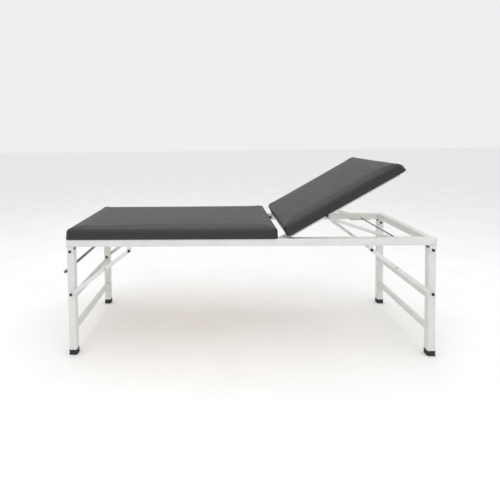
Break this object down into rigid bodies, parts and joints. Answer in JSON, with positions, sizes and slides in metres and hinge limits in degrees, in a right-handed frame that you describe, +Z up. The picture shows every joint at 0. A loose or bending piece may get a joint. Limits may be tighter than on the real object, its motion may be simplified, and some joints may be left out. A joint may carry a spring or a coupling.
{
  "type": "folding examination couch",
  "caption": "Steel-framed folding examination couch with a black seat pad, a raised adjustable backrest, folding leg frames with braces, and a paper roll bar.",
  "frame": {"origin": "on the floor, at the centre of the couch's overall footprint", "axes": "+X along the couch to the head end (the end with the raised backrest), +Y across it to the far side, +Z up"},
  "size_m": [1.915, 0.683, 0.9969],
  "materials": {
    "frame_steel": "satin light grey powder coat",
    "bare_steel_rod": "satin dark bare steel",
    "plated_steel": "satin zinc plate",
    "dark_bolts": "satin black oxide",
    "pad_vinyl": "satin grained vinyl-coated cloth over foam",
    "plywood": "matte",
    "black_rubber": "matte"
  },
  "bodies": {
    "frame": {"side_rail_near": "frame_steel", "side_rail_far": "frame_steel", "end_rail_foot": "frame_steel", "end_rail_head": "frame_steel", "cross_rail_mid": "frame_steel", "cross_rail_hinge": "frame_steel", "seat_board": "plywood", "seat_pad": "pad_vinyl", "leg_bracket_foot_near": "frame_steel", "leg_bracket_foot_far": "frame_steel", "leg_bracket_head_near": "frame_steel", "leg_bracket_head_far": "frame_steel", "leg_pivot_bolts": "dark_bolts", "brace_lugs": "frame_steel", "brace_pivot_studs": "dark_bolts", "prop_rack_near": "frame_steel", "prop_rack_far": "frame_steel", "backrest_hinge_studs": "dark_bolts"},
    "foot_legs": {"leg_foot_near": "frame_steel", "leg_foot_far": "frame_steel", "crossbar_foot_upper": "frame_steel", "crossbar_foot_lower": "frame_steel", "rubber_tip_foot_near": "black_rubber", "rubber_tip_foot_far": "black_rubber", "brace_bolts_foot": "dark_bolts", "roll_bar": "bare_steel_rod", "roll_bar_saddles": "frame_steel"},
    "head_legs": {"leg_head_near": "frame_steel", "leg_head_far": "frame_steel", "crossbar_head_upper": "frame_steel", "crossbar_head_lower": "frame_steel", "rubber_tip_head_near": "black_rubber", "rubber_tip_head_far": "black_rubber", "brace_bolts_head": "dark_bolts"},
    "foot_lower_links": {"lower_link_foot_near": "frame_steel", "lower_link_foot_far": "frame_steel", "knee_rivets_foot": "plated_steel"},
    "foot_upper_links": {"upper_link_foot_near": "frame_steel", "upper_link_foot_far": "frame_steel", "knee_caps_foot": "plated_steel"},
    "head_lower_links": {"lower_link_head_near": "frame_steel", "lower_link_head_far": "frame_steel", "knee_rivets_head": "plated_steel"},
    "head_upper_links": {"upper_link_head_near": "frame_steel", "upper_link_head_far": "frame_steel", "knee_caps_head": "plated_steel"},
    "backrest": {"back_tube_near": "frame_steel", "back_tube_far": "frame_steel", "back_cross_lower": "frame_steel", "back_cross_upper": "frame_steel", "back_board": "plywood", "back_pad": "pad_vinyl", "prop_lugs": "frame_steel", "prop_pivot_rivets": "plated_steel"},
    "prop": {"prop_arm_near": "frame_steel", "prop_arm_far": "frame_steel", "prop_rod": "bare_steel_rod"}
  },
  "joints": [
    {"name": "foot_leg_fold", "type": "hinge", "parent": "frame", "child": "foot_legs", "pos_m": [-0.9205, 0, 0.551], "axis": [0, -1, 0], "range_deg": [0, 90]},
    {"name": "foot_lower_link_pivot", "type": "hinge", "parent": "foot_legs", "child": "foot_lower_links", "pos_m": [-0.9205, 0, 0.325], "axis": [0, 1, 0], "range_deg": [0, 147.4]},
    {"name": "foot_upper_link_pivot", "type": "hinge", "parent": "frame", "child": "foot_upper_links", "pos_m": [-0.6105, 0, 0.556], "axis": [0, -1, 0], "range_deg": [0, 111.1]},
    {"name": "head_leg_fold", "type": "hinge", "parent": "frame", "child": "head_legs", "pos_m": [0.9355, 0, 0.551], "axis": [0, 1, 0], "range_deg": [0, 90]},
    {"name": "head_lower_link_pivot", "type": "hinge", "parent": "head_legs", "child": "head_lower_links", "pos_m": [0.9355, 0, 0.325], "axis": [0, -1, 0], "range_deg": [0, 147.4]},
    {"name": "head_upper_link_pivot", "type": "hinge", "parent": "frame", "child": "head_upper_links", "pos_m": [0.6255, 0, 0.556], "axis": [0, 1, 0], "range_deg": [0, 111.1]},
    {"name": "backrest_tilt", "type": "hinge", "parent": "frame", "child": "backrest", "pos_m": [0.1945, 0, 0.6], "axis": [0, -1, 0], "range_deg": [-29.4, 15.6]},
    {"name": "prop_pivot", "type": "hinge", "parent": "backrest", "child": "prop", "pos_m": [0.42512, 0, 0.70814], "axis": [0, 1, 0], "range_deg": [-47.5, 25.3]}
  ],
  "couplings": [
    {"joint": "foot_lower_link_pivot", "follows": "foot_leg_fold", "ratio": 1.6326},
    {"joint": "foot_upper_link_pivot", "follows": "foot_leg_fold", "ratio": 1.229},
    {"joint": "head_lower_link_pivot", "follows": "head_leg_fold", "ratio": 1.6326},
    {"joint": "head_upper_link_pivot", "follows": "head_leg_fold", "ratio": 1.229},
    {"joint": "prop_pivot", "follows": "backrest_tilt", "ratio": 1.6122}
  ]
}
